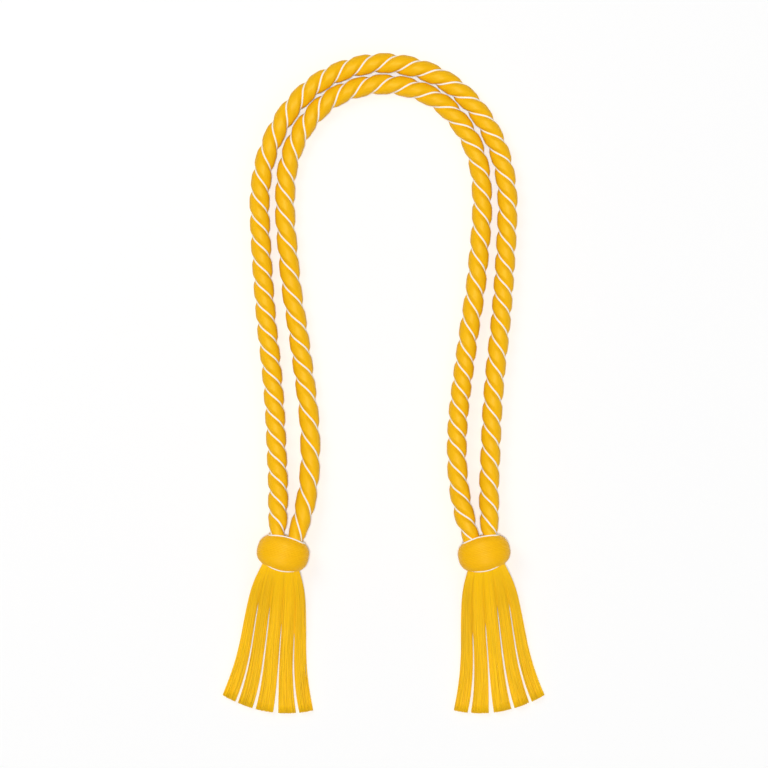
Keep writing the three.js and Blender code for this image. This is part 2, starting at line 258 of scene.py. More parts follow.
class KnotSizes(bpy.types.PropertyGroup):
    """Sizes of the two knots."""

    width: bpy.props.FloatProperty(
        name="Width", description="Across both ropes", default=0.0558, unit="LENGTH")
    length: bpy.props.FloatProperty(
        name="Length", description="Along the cord", default=0.038, unit="LENGTH")
    thickness: bpy.props.FloatProperty(
        name="Thickness", description="Up from the surface",
        default=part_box("knot_right")[1].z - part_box("knot_right")[0].z, unit="LENGTH")
    winding: bpy.props.FloatProperty(
        name="Winding pitch", description="Distance from one turn of yarn to the next", default=0.0019,
        unit="LENGTH")
    winding_depth: bpy.props.FloatProperty(
        name="Winding depth", description="Depth of the furrow between two turns", default=0.00055,
        unit="LENGTH")
    mouth_binding: bpy.props.FloatProperty(
        name="Mouth binding",
        description="Diameter of the pale yarn round the ropes where they enter the knot",
        default=0.0016, unit="LENGTH")
    neck_binding: bpy.props.FloatProperty(
        name="Neck binding", description="Diameter of the pale yarn round the threads under the knot",
        default=0.0012, unit="LENGTH")


class TasselSizes(bpy.types.PropertyGroup):
    """Sizes of the two tassels."""

    length: bpy.props.FloatProperty(
        name="Length", description="From the neck to the longest lock's hem", default=0.1538, unit="LENGTH")
    neck_width: bpy.props.FloatProperty(
        name="Neck width", description="Where the threads leave the knot", default=0.0392, unit="LENGTH")
    neck_thickness: bpy.props.FloatProperty(
        name="Neck thickness", description="Where the threads leave the knot", default=0.019, unit="LENGTH")
    hem_width: bpy.props.FloatProperty(
        name="Hem width", description="Across all five locks", default=0.0963, unit="LENGTH")
    hem_thickness: bpy.props.FloatProperty(
        name="Hem thickness", description="Of the locks at the hem", default=0.007, unit="LENGTH")
    thread: bpy.props.FloatProperty(
        name="Thread", description="Diameter of one thread at the hem", default=0.00082, unit="LENGTH")


class CordColours(bpy.types.PropertyGroup):
    """Colours of the yarns and the floor."""

    # Gold and thread gold are the yarn's own colour at its lightest. Deep gold is partly the yarn's darker
    # random tones and partly painted shade, mixed in where yarn lies in the furrows between yarns, deep in
    # the rope's grooves and among a tassel's inner threads.
    gold: bpy.props.FloatVectorProperty(
        name="Gold", description="Yarn where it faces the light", subtype="COLOR", size=3, min=0, max=1,
        default=(0.95, 0.51, 0.004))
    thread_gold: bpy.props.FloatVectorProperty(
        name="Thread gold", description="Loose thread where it faces the light",
        subtype="COLOR", size=3, min=0, max=1, default=(1.0, 0.6, 0.006))
    dark_tone_and_shade_gold: bpy.props.FloatVectorProperty(
        name="Deep gold", description="Yarn between and under its neighbours",
        subtype="COLOR", size=3, min=0, max=1, default=(0.80, 0.36, 0.003))
    filler: bpy.props.FloatVectorProperty(
        name="Filler", description="The pale yarn in the ropes' grooves and round the knots' ends",
        subtype="COLOR", size=3, min=0, max=1, default=(0.95, 0.93, 0.86))
    floor: bpy.props.FloatVectorProperty(
        name="Floor", description="The surface that the cord lies on",
        subtype="COLOR", size=3, min=0, max=1, default=(0.93, 0.93, 0.93))


def smoothstep(x):
    x = np.clip(x, 0, 1)
    return x * x * (3 - 2 * x)


def unit(v):
    return v / np.linalg.norm(v, axis=-1, keepdims=True)


def turned(x, y, angle):
    return x * math.cos(angle) - y * math.sin(angle), x * math.sin(angle) + y * math.cos(angle)


# Lines

def knot_point(across, up, height):
    """A point given in the right knot's own directions: across it, away from the neck opening, and up the
    cord."""
    x, y = turned(across, up, KNOT_TILT)
    return np.array((KNOT_PLACE[0] + x, KNOT_PLACE[1] + y, height))


def rope_route(rope, sizes, knot_thickness):
    """The points that a rope follows, from the left knot over the crown to the right knot."""
    end = knot_point(rope["side"] * (ROPE_END_DIAMETER + ROPE_GAP) / 2, ROPE_END_UP, knot_thickness / 2)
    lean = math.radians(rope["lean"])
    out = np.array((-math.sin(lean), math.cos(lean), 0))
    half = np.array(rope["route"]) * MM + (0, 0, sizes.diameter / 2)
    half = np.vstack((half, end + 2 * SQUEEZED_LENGTH * out, end + SQUEEZED_LENGTH * out, end))
    return np.vstack((half[:0:-1] * (-1, 1, 1), half))


def smooth_line(points, per_span=60):
    """A centripetal curve through the points, as many small steps."""
    p = np.vstack((2 * points[0] - points[1], points, 2 * points[-1] - points[-2]))
    gap = np.linalg.norm(np.diff(p, axis=0), axis=1) ** 0.5
    t = np.linspace(0, 1, per_span, endpoint=False)[:, None]
    spans = []
    for i in range(1, len(p) - 2):
        before, start, end, after = p[i - 1:i + 3]
        g0, g1, g2 = gap[i - 1:i + 2]
        leave = ((start - before) / g0 - (end - before) / (g0 + g1) + (end - start) / g1) * g1
        arrive = ((end - start) / g1 - (after - start) / (g1 + g2) + (after - end) / g2) * g1
        spans.append(start + leave * t + (3 * (end - start) - 2 * leave - arrive) * t ** 2
                     + (2 * (start - end) + leave + arrive) * t ** 3)
    return np.vstack((*spans, p[-2:-1]))


def distances(line):
    """Distance along a line to each of its points."""
    return np.concatenate(((0,), np.cumsum(np.linalg.norm(np.diff(line, axis=0), axis=1))))


def even_steps(line, count):
    """The same line as count points at equal distances, and those distances from its start."""
    along = distances(line)
    steps = np.linspace(0, along[-1], count)
    return np.column_stack([np.interp(steps, along, line[:, k]) for k in range(3)]), steps


def up_and_across(line):
    """Directions up from a line and across it to its left, square to it, at each of its points."""
    ahead = unit(np.gradient(line, axis=0))
    up = unit(np.array((0, 0, 1)) - ahead * ahead[:, 2:])
    return up, np.cross(up, ahead)


def tube(line, radius, turn, first, second):
    """Rings of points round a line. turn holds the points' angles, from direction first towards second."""
    turn = np.broadcast_to(turn, (len(line), np.shape(turn)[-1]))[..., None]
    out = np.cos(turn) * first[:, None] + np.sin(turn) * second[:, None]
    return line[:, None] + np.reshape(radius, (-1, 1, 1)) * out


def pale_yarn_turn(along):
    """Angles of a twisted pale yarn's sides at each distance along it."""
    return 2 * math.pi * (np.arange(PALE_YARN_SIDES) / PALE_YARN_SIDES + along[:, None] / PALE_YARN_LAY)


# Meshes

class YarnWork:
    """Gathers closed tubes of yarn and makes them one mesh. Its map "yarn" gives metres along the yarns and
    yarns counted across them. Its map "OFBake" lays every tube out flat in straight strips."""

    def __init__(self):
        self.tubes = []

    def add(self, rings, along, yarns=1, cuts=1, wound=None, **values):
        """rings holds the points of each ring, turning right-handed about the tube's direction. cuts is how
        many strips the tube is cut into on the flat layout. Yarns that run round the tube have wound, the
        turns counted at each ring. Each of values is one number, or numbers for each ring or point."""
        self.tubes.append((rings, along, yarns, cuts, wound, values))

    def layout(self):
        """Strips of the flat layout, their places and its scale, which is the largest that fits."""
        strips = []
        for number, (rings, along, _, cuts, _, _) in enumerate(self.tubes):
            round_it = np.linalg.norm(np.diff(rings, axis=1, append=rings[:, :1]), axis=2).sum(1).max()
            bounds = np.linspace(0, len(rings) - 1, cuts + 1).round().astype(int)
            for a, b in zip(bounds[:-1], bounds[1:]):
                strips.append((number, a, b, abs(along[b] - along[a]), round_it))
        longest = max(long_it + 2 * CAP_ROOM * round_it for *_, long_it, round_it in strips)
        for columns in range(1, MOST_COLUMNS + 1):
            scale = (1 / columns - LAYOUT_GAP) / longest
            places, x, y = [], 0, LAYOUT_GAP
            for *_, round_it in strips:
                high = round_it * scale
                if y + high + LAYOUT_GAP > 1:
                    x, y = x + 1, LAYOUT_GAP
                places.append((x / columns + LAYOUT_GAP / 2, y))
                y += high + LAYOUT_GAP
            if x < columns:
                return strips, places, scale
        raise RuntimeError("the yarns don't fit on one flat layout")

    def build(self, name):
        """One mesh of all tubes, with both maps, their end faces and their values as attributes."""
        strips, places, scale = self.layout()
        starts = np.cumsum([0] + [r.shape[0] * r.shape[1] for r, *_ in self.tubes])
        quads, caps, yarn_uv, bake_uv, cap_yarn, cap_bake = [], [], [], [], [], []
        for (number, a, b, long_it, round_it), (x, y) in zip(strips, places):
            rings, along, yarns, _, wound, _ = self.tubes[number]
            n, m = rings.shape[:2]

            def yarn_place(p, q):
                if wound is None:
                    return np.stack(np.broadcast_arrays(along[p], q * yarns / m), -1)
                return np.stack(np.broadcast_arrays(q / m * round_it, wound[p]), -1)

            i, j = np.meshgrid(np.arange(a, b), np.arange(m), indexing="ij")
            ends = ((i, j), (i, j + 1), (i + 1, j + 1), (i + 1, j))
            quads.append(np.stack([starts[number] + p * m + q % m for p, q in ends], -1).reshape(-1, 4))
            yarn_uv.append(np.stack([yarn_place(p, q) for p, q in ends], -2).reshape(-1, 2))
            left = x + CAP_ROOM * round_it * scale
            bake_uv.append(np.stack([np.stack((
                left + abs(along[p] - along[a]) * scale, y + q / m * round_it * scale), -1)
                for p, q in ends], -2).reshape(-1, 2))
            turn = 2 * math.pi * np.arange(m) / m
            beside = CAP_ROOM / 2 * round_it * scale
            for ring, at, order in ((0, left - beside, -1), (n - 1, left + long_it * scale + beside, 1)):
                if ring in (a, b):
                    caps.append((starts[number] + ring * m + np.arange(m))[::order])
                    cap_yarn.append(yarn_place(ring, np.arange(m))[::order])
                    radius = round_it * scale / (2 * math.pi)
                    cap_bake.append(np.column_stack((
                        at + order * radius * np.cos(turn),
                        y + round_it * scale / 2 + radius * np.sin(turn)))[::order])
        quads = np.concatenate(quads)
        sizes = np.concatenate((np.full(len(quads), 4), [len(c) for c in caps])).astype(np.int32)
        corners = np.concatenate((quads.ravel(), *caps)).astype(np.int32)
        mesh = bpy.data.meshes.new(name)
        points = np.concatenate([r.reshape(-1, 3) for r, *_ in self.tubes])
        mesh.vertices.add(len(points))
        mesh.vertices.foreach_set("co", points.astype(np.float32).ravel())
        mesh.loops.add(len(corners))
        mesh.loops.foreach_set("vertex_index", corners)
        mesh.polygons.add(len(sizes))
        mesh.polygons.foreach_set("loop_start", (np.cumsum(sizes) - sizes).astype(np.int32))
        mesh.update(calc_edges=True)
        mesh.polygons.foreach_set("use_smooth", np.arange(len(sizes)) < len(quads))
        for label, parts in (("yarn", (*yarn_uv, *cap_yarn)), ("OFBake", (*bake_uv, *cap_bake))):
            layer = mesh.uv_layers.new(name=label)
            layer.uv.foreach_set("vector", np.concatenate(parts).astype(np.float32).ravel())
        for label in self.tubes[0][-1]:
            parts = []
            for rings, *_, values in self.tubes:
                value = np.asarray(values[label], float)
                value = value if value.ndim == 2 else value.reshape(-1, 1)
                parts.append(np.broadcast_to(value, rings.shape[:2]).ravel())
            attribute = mesh.attributes.new(label, "FLOAT", "POINT")
            attribute.data.foreach_set("value", np.concatenate(parts).astype(np.float32))
        if mesh.validate():
            raise RuntimeError(f"{name} has faces that Blender had to mend")
        return mesh


def show(mesh, name, material, node):
    """Puts a finished mesh in the scene in place of its solid."""
    mesh.materials.append(material)
    piece = bpy.data.objects.new(name, mesh)
    bpy.context.scene.collection.objects.link(piece)
    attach(piece, BODY)
    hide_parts(node)
    return piece


# Finishes

def add_node(tree, kind, where, **settings):
    node = tree.nodes.new(kind)
    node.location = where
    for key, value in settings.items():
        setattr(node, key, value)
    return node


def feed(tree, node, **inputs):
    """Sets or links a node's inputs, named with _ for a space, or by number as i0, i1, ..."""
    for key, value in inputs.items():
        socket = node.inputs[int(key[1:]) if key[0] == "i" and key[1:].isdigit() else key.replace("_", " ")]
        if isinstance(value, bpy.types.NodeSocket):
            tree.links.new(value, socket)
        else:
            socket.default_value = value
    return node


def maths(tree, where, operation, *values):
    node = add_node(tree, "ShaderNodeMath", where, operation=operation)
    return feed(tree, node, **{f"i{k}": value for k, value in enumerate(values)}).outputs[0]


def satin_yarn_group():
    """The surface of fine satin yarn from places along it and across it, with painted shade in furrows and
    hollows.
    """
    name = "Satin yarn surface"
    if name in bpy.data.node_groups:
        return bpy.data.node_groups[name]
    tree = bpy.data.node_groups.new(name, "ShaderNodeTree")
    for label, default in (
            ("Along", 0.0), ("Across", 0.0), ("Tone", MIDDLE_TONE), ("Hollow", 0.0), ("Furrow", 0.6),
            ("Fibre Length", 0.004), ("Patch Length", 0.03)):
        socket = tree.interface.new_socket(label, in_out="INPUT", socket_type="NodeSocketFloat")
        socket.default_value = default
    for label in ("Light", "Roughness", "Height"):
        tree.interface.new_socket(label, in_out="OUTPUT", socket_type="NodeSocketFloat")
    inside = add_node(tree, "NodeGroupInput", (-1200, 0)).outputs
    result = add_node(tree, "NodeGroupOutput", (700, 0))

    number = maths(tree, (-1000, 200), "FLOOR", inside["Across"])
    part = maths(tree, (-1000, 50), "FRACT", inside["Across"])
    centred = maths(tree, (-820, 50), "MULTIPLY_ADD", part, 2.0, -1.0)
    square = maths(tree, (-660, 50), "MULTIPLY", centred, centred)
    furrow = maths(tree, (-500, 50), "POWER", square, 3.0)

    def noise(where, along, across):
        own_place = maths(tree, (where[0] - 400, where[1] - 120), "MULTIPLY", inside["Tone"], TONE_STEP)
        spot = feed(tree, add_node(tree, "ShaderNodeCombineXYZ", (where[0] - 200, where[1])),
                    X=along, Y=across, Z=own_place)
        node = add_node(tree, "ShaderNodeTexNoise", where, noise_dimensions="3D")
        return feed(tree, node, Vector=spot.outputs[0], Scale=1.0, Detail=2.0, Roughness=0.6).outputs[0]

    fibre_along = maths(tree, (-820, -250), "DIVIDE", inside["Along"], inside["Fibre Length"])
    patch_along = maths(tree, (-820, -450), "DIVIDE", inside["Along"], inside["Patch Length"])
    fibre_across = maths(tree, (-820, -350), "MULTIPLY", inside["Across"], FIBRES_ACROSS)
    fibre = noise((-300, -250), fibre_along, fibre_across)
    patch = noise((-300, -500), patch_along, maths(tree, (-820, -600), "MULTIPLY", number, PATCH_STEP))

    # Painted shade: the colour darkens in the furrow between two yarns, by the weight Furrow
    furrow_shade = maths(tree, (-100, 100), "MULTIPLY", furrow, inside["Furrow"])
    light = maths(tree, (60, 100), "SUBTRACT", 1.0, furrow_shade)
    for value, weight, down in (
            (fibre, FIBRE_LIGHT, -60), (patch, PATCH_LIGHT, -200), (inside["Tone"], TONE_LIGHT, -340)):
        centred = maths(tree, (60, down), "SUBTRACT", value, 0.5)
        light = maths(tree, (220, down), "MULTIPLY_ADD", centred, weight, light)
    # Painted shade: the colour darkens by the Hollow input
    lit = add_node(tree, "ShaderNodeMath", (540, 100), operation="SUBTRACT", use_clamp=True)
    feed(tree, lit, i0=light, i1=maths(tree, (380, -200), "MULTIPLY", inside["Hollow"], HOLLOW_SHADE_DARK))
    rough = maths(tree, (380, -340), "MULTIPLY_ADD", furrow, FURROW_ROUGHNESS, ROUGHNESS)
    rough = maths(tree, (540, -100), "MULTIPLY_ADD", fibre, FIBRE_ROUGHNESS, rough)
    height = maths(tree, (380, -480), "MULTIPLY", furrow, FURROW_HEIGHT)
    height = maths(tree, (540, -260), "MULTIPLY_ADD", fibre, FIBRE_HEIGHT, height)
    feed(tree, result, Light=lit.outputs[0], Roughness=rough, Height=height)
    return tree


def yarn_material(name, gold, furrow, fibre_length, patch_length, relief, sheen=0.08, filler=False):
    """A satin yarn finish. furrow sets how much painted shade darkens the furrows between yarns. With filler,
    points whose attribute "filler" is 1 take the pale filler's colour."""
    if name in bpy.data.materials:
        return bpy.data.materials[name]
    colours = bpy.context.scene.cord_colours
    material = bpy.data.materials.new(name)
    material.use_nodes = True
    tree = material.node_tree
    shader = tree.nodes["Principled BSDF"]
    places = add_node(tree, "ShaderNodeUVMap", (-1100, 0), uv_map="yarn")
    split = feed(tree, add_node(tree, "ShaderNodeSeparateXYZ", (-900, 0)), Vector=places.outputs[0])
    tone = add_node(tree, "ShaderNodeAttribute", (-1100, -200), attribute_name="tone")
    hollow = add_node(tree, "ShaderNodeAttribute", (-1100, -400), attribute_name="hollow")
    surface = add_node(tree, "ShaderNodeGroup", (-650, 0), node_tree=satin_yarn_group())
    feed(tree, surface, Along=split.outputs[0], Across=split.outputs[1], Tone=tone.outputs["Fac"],
         Hollow=hollow.outputs["Fac"], Furrow=furrow, Fibre_Length=fibre_length, Patch_Length=patch_length)
    # The colour runs from deep gold, for darker tones and painted shade, to gold
    colour = add_node(tree, "ShaderNodeMix", (-350, 200), data_type="RGBA")
    feed(tree, colour, Factor=surface.outputs["Light"], i6=(*colours.dark_tone_and_shade_gold, 1), i7=(*gold, 1))
    colour = colour.outputs[2]
    if filler:
        pale = add_node(tree, "ShaderNodeAttribute", (-650, 400), attribute_name="filler")
        both = add_node(tree, "ShaderNodeMix", (-150, 300), data_type="RGBA")
        colour = feed(tree, both, Factor=pale.outputs["Fac"], i6=colour, i7=(*colours.filler, 1)).outputs[2]
    bump = add_node(tree, "ShaderNodeBump", (-350, -200))
    feed(tree, bump, Height=surface.outputs["Height"], Strength=0.6, Distance=relief)
    feed(tree, shader, Base_Color=colour, Roughness=surface.outputs["Roughness"], Normal=bump.outputs[0],
         Sheen_Weight=sheen, Sheen_Roughness=0.4, Sheen_Tint=(1.0, 0.8, 0.3, 1), Specular_IOR_Level=0.3,
         Specular_Tint=(1.0, 0.85, 0.4, 1))
    return material


# Ropes

def rope_outline(sizes):
    """The rope's section as two soft strands pressed together, each round over its crest, with a groove
    between them at either side. The first crest is at +x. Returns points at equal steps round it, its outward
    directions, and its length."""
    radius, half = sizes.diameter / 2, sizes.strand_width / 2
    groove = radius - sizes.groove
    middle = STRAND_MIDDLE * radius
    turn = np.linspace(-math.pi / 2, math.pi / 2, STRAND_SAMPLES)
    x = middle + (radius - middle) * np.cos(turn) ** (2 / STRAND_SQUARENESS)
    y = half * np.sign(turn) * np.abs(np.sin(turn)) ** (2 / STRAND_SQUARENESS)
    past_rope = np.maximum(1, np.hypot(x, y) / radius)
    x, y = x / past_rope, y / past_rope
    # From its widest place the strand rounds in to the bottom of the groove
    down = np.linspace(0, 1, FALL_SAMPLES)[1:]
    side = half - (half - groove) * down ** STRAND_FALL
    x = np.concatenate((middle * (1 - down[:0:-1]), x, middle * (1 - down)))
    y = np.concatenate((-side[:0:-1], y, side))
    x, y = np.concatenate((x, -x, x[:1])), np.concatenate((y, -y, y[:1]))
    along = distances(np.column_stack((x, y)))
    at = np.linspace(0, along[-1], OUTLINE_STEPS, endpoint=False)
    points = np.column_stack((np.interp(at, along, x), np.interp(at, along, y)))
    ahead = np.roll(points, -OUTLINE_NEAR, axis=0) - np.roll(points, OUTLINE_NEAR, axis=0)
    return points, unit(np.column_stack((ahead[:, 1], -ahead[:, 0]))), along[-1]


def rope_mesh(name):
    """One rope of yarn in two strands with a pale filler yarn in each groove, and its centre points."""
    rope, sizes = ROPES[name], bpy.context.scene.cord_ropes
    radius = sizes.diameter / 2
    route = rope_route(rope, sizes, bpy.context.scene.cord_knots.thickness)
    centre, along = even_steps(smooth_line(route), ROPE_RINGS)
    length = along[-1]
    up, across = up_and_across(centre)
    from_end = np.minimum(along, length - along)
    narrow = ROPE_END_DIAMETER / sizes.diameter
    share = narrow + (1 - narrow) * smoothstep((from_end - SQUEEZED_LENGTH) / SQUEEZE_LENGTH)
    past, lobes = np.array(rope["lobes"]).T
    strand_turn = -2 * math.pi / STRANDS * np.interp(along - length / 2, past * MM, lobes)
    outline, outward, round_it = rope_outline(sizes)

    def place(turn, x, y):
        """Points of each ring from their places in the section, where +x is at turn from the first strand's
        crest."""
        angle = (turn + strand_turn)[:, None]
        out = across * np.cos(angle) + up * np.sin(angle)
        side = -across * np.sin(angle) + up * np.cos(angle)
        from_centre = x[..., None] * out[:, None] + y[..., None] * side[:, None]
        return centre[:, None] + share[:, None, None] * from_centre

    work = YarnWork()
    # Each yarn is a ridge and a furrow. Yarns slide round the section, so that on the crests they run at
    # their slope to the rope's line.
    points = 2 * sizes.yarns
    slide = (-strand_turn * radius - math.tan(sizes.yarn_slope) * along) / round_it
    number = (np.arange(points) / points + slide[:, None]) % 1 * len(outline)
    low = number.astype(int) % len(outline)
    mix = (number - number.astype(int))[..., None]
    here = outline[low] * (1 - mix) + outline[(low + 1) % len(outline)] * mix
    here = here - outward[low] * (sizes.yarn_depth * (np.arange(points) % 2 == 0))[:, None]
    # Painted shade: yarn that lies deep in the groove between the strands is given a darker colour
    depth = 1 - np.hypot(here[..., 0], here[..., 1]) / radius
    work.add(place(0, here[..., 0], here[..., 1]), along, sizes.yarns, ROPE_STRIPS, tone=MIDDLE_TONE,
             hollow=smoothstep((depth - HOLLOW_START) / HOLLOW_REACH), filler=0)

    thin = sizes.filler / 2
    reach = radius - sizes.groove + FILLER_RISE * thin
    # A slanting yarn is cut across as an oval
    wide = thin * np.hypot(1, reach * np.gradient(strand_turn, along))[:, None]
    turn = pale_yarn_turn(along)
    for k in range(STRANDS):
        groove_turn = 2 * math.pi * (k + 0.5) / STRANDS
        rings = place(groove_turn, reach + thin * np.cos(turn), wide * np.sin(turn))
        work.add(rings, along, 2, PALE_YARN_STRIPS, tone=MIDDLE_TONE, hollow=0, filler=1)
    return work.build(name), centre


class CORD_OT_ropes(bpy.types.Operator):
    """Lay both ropes along their routes"""

    bl_idname = "honor_cord.ropes"
    bl_label = "Ropes"

    def execute(self, context):
        finish = yarn_material("Rope yarn", context.scene.cord_colours.gold, furrow=0.55, fibre_length=0.004,
                               patch_length=0.02, relief=0.0003, filler=True)
        for name, rope in ROPES.items():
            mesh, centre = rope_mesh(name)
            piece = show(mesh, f"{name}_yarn", finish, name)
        return {"FINISHED"}


# Knots

def knot_mesh(name, side):
    """An oval knot, wound round and round with yarn, with a pale yarn round the ropes in its mouth and one
    round the threads just under it."""
    sizes = bpy.context.scene.cord_knots
    angle = np.linspace(-math.pi / 2, math.pi / 2, KNOT_SAMPLES)
    wide = sizes.width / 2 * np.clip(np.cos(angle), 0, 1) ** (2 / KNOT_SQUARENESS)
    high = sizes.length / 2 * np.sign(angle) * np.abs(np.sin(angle)) ** (2 / KNOT_SQUARENESS)
    arc = distances(np.column_stack((wide, high)))
    turns = round(arc[-1] / sizes.winding)
    ring = np.arange(1, turns * WINDING_STEPS)
    number = ring // WINDING_STEPS
    round_it = 2 * math.pi * np.arange(KNOT_SIDES) / KNOT_SIDES
    rng = np.random.default_rng(KNOT_SEED + side)
    drift = rng.uniform(0, 2 * math.pi, 3)
    sway = sum(most * np.sin((k + 1) * round_it + drift[k]) for k, most in enumerate(WINDING_SWAY)) / turns
    at = ring[:, None] / (turns * WINDING_STEPS)
    at = (at + sway * np.sin(math.pi * at)) * arc[-1]
    slope_out = np.interp(at, arc, np.gradient(wide, arc))
    slope_up = np.interp(at, arc, np.gradient(high, arc))
    slope = np.hypot(slope_out, slope_up)
    part = ring % WINDING_STEPS / WINDING_STEPS
    bulge = np.clip(rng.normal(0, WINDING_UNEVEN, turns + 1)[number], -WINDING_LIMIT, WINDING_LIMIT)
    sunk = sizes.winding_depth * (1 - np.sqrt(1 - (2 * part - 1) ** 2)) + WINDING_LIMIT - bulge
    out = np.interp(at, arc, wide) - sunk[:, None] * slope_up / slope
    lengthwise = np.interp(at, arc, high) + sunk[:, None] * slope_out / slope
    tilt = side * KNOT_TILT

    def place(x, y, z):
        """Points given across the knot, up the cord and up from the knot's middle."""
        u, v = turned(x, y, tilt)
        return np.stack((side * KNOT_PLACE[0] + u, KNOT_PLACE[1] + v, sizes.thickness / 2 + z), -1)

    work = YarnWork()
    flat = sizes.thickness / sizes.width
    rings = place(out * np.sin(round_it), lengthwise, out * np.cos(round_it) * flat)
    tone = MIDDLE_TONE + rng.uniform(-WINDING_TONES, WINDING_TONES, turns + 1)[number]
    work.add(rings, at.mean(1), wound=ring / WINDING_STEPS, tone=tone, hollow=0, filler=0)

    def bind(x, y, z, diameter):
        """A pale yarn along points given in the knot's own directions."""
        line = place(x, y, z)
        ahead = unit(np.gradient(line, axis=0))
        outward = line - place(0 * x, y, 0 * z)
        outward = unit(outward - ahead * (outward * ahead).sum(1, keepdims=True))
        along = distances(line)
        rings = tube(line, diameter / 2, pale_yarn_turn(along), outward, np.cross(ahead, outward))
        work.add(rings, along, 2, tone=MIDDLE_TONE, hollow=0, filler=1)

    # One pale yarn lies on the knot round the ropes in its mouth
    turn = np.linspace(*LOOP_TURN, LOOP_STEPS)
    c, s = np.cos(turn), np.sin(turn)
    x, z = (half * MM * np.sign(v) * np.abs(v) ** (2 / MOUTH_SQUARENESS)
            for half, v in zip(MOUTH_HALF, (c, s)))
    reach = np.hypot(2 * x / sizes.width, 2 * z / sizes.thickness)
    bulge = (1 - reach ** KNOT_SQUARENESS) ** (1 / KNOT_SQUARENESS)
    bind(x, sizes.length / 2 * bulge + MOUTH_RISE, z, sizes.mouth_binding)

    # The other dips round the threads, on the surface of the skirt
    tassel = bpy.context.scene.cord_tassels
    rise = NECK_RISE * sizes.neck_binding
    x = (tassel.neck_width / 2 + rise) * c + side * TASSEL_OUT
    y = (NECK_LOW[1] + NECK_BOW * (-side * x / MM - NECK_LOW[0]) ** 2) * MM
    u, v = turned(x, y, tilt)
    u, v = turned(u - side * TASSEL_OUT, v, -side * TASSEL_TILT)
    down = (-v - NECK_DOWN) / tassel.length
    low, high = skirt_surface(np.clip(-side * u / skirt_half(down, tassel), -1, 1), down, tassel)
    bind(x, y, np.where(s < 0, low, high) + rise * s - sizes.thickness / 2, sizes.neck_binding)
    return work.build(name)


class CORD_OT_knots(bpy.types.Operator):
    """Wind both knots over the ends of the ropes"""

    bl_idname = "honor_cord.knots"
    bl_label = "Knots"

    def execute(self, context):
        finish = yarn_material("Knot yarn", context.scene.cord_colours.gold, furrow=0.5, fibre_length=0.004,
                               patch_length=0.02, relief=0.0003, filler=True)
        for name, side in (("knot_left", -1), ("knot_right", 1)):
            show(knot_mesh(name, side), f"{name}_winding", finish, name)
        return {"FINISHED"}


# Tassels

def skirt_shape(down, *columns):
    """Columns of the skirt's table at each share down its length, with their corners eased."""
    near = down[:, None] + SKIRT_EASE
    return [np.interp(near, SKIRT[:, 0], SKIRT[:, k]).mean(1) for k in columns]


def skirt_half(down, sizes):
    """Half the skirt's width at each share down its length."""
    return (sizes.neck_width + (sizes.hem_width - sizes.neck_width) * skirt_shape(down, 1)[0]) / 2


def skirt_surface(b, down, sizes):
    """Heights of the skirt's underside and of its upper side. b is the share of the half-width towards the
    neck opening, at each share down the skirt's length."""
    bulk, lift, locks = skirt_shape(down, 2, 3, 4)
    half = (sizes.hem_thickness + (sizes.neck_thickness - sizes.hem_thickness) * bulk) / 2
    knot_middle = bpy.context.scene.cord_knots.thickness / 2
    middle = (knot_middle - sizes.neck_thickness / 2) * lift + half
    edges = np.array((-1, *(s[0] for s in SLITS), 1))
    lock = np.clip(np.searchsorted(edges, b) - 1, 0, len(SLITS))
    share = (b - edges[lock]) / (edges[lock + 1] - edges[lock])
    dip = np.abs(2 * share - 1) ** LOCK_DIP_POWER
    power = 2 + (HEM_SQUARENESS - 2) * locks
    dome = np.clip(1 - np.abs(b) ** power, 0, 1) ** (1 / power) * (1 - 2 * LOCK_DIP * dip * locks)
    flat = NECK_EDGE + (1 - NECK_EDGE) * smoothstep(1 - lift)
    belly = (1 - flat) * np.sqrt(np.clip(1 - b * b, 0, 1)) + flat
    return middle - half * belly, middle + half * dome


def lock_edges(down):
    """Places of the slits and of the skirt's two sides, as shares of its half-width, and the half of each
    slit's width, at each share down its length."""
    places, openings = [-np.ones(len(down))], [np.zeros(len(down))]
    for place, start, widening, power, move in SLITS:
        share = np.clip((down - start) / (1 - start), 0, 1)
        places.append(place + move * share ** SLIT_MOVE_POWER)
        openings.append((SLIT_WIDTH * smoothstep(share / SLIT_POINT) + widening * MM * share ** power) / 2)
    return (*places, np.ones(len(down))), (*openings, np.zeros(len(down)))


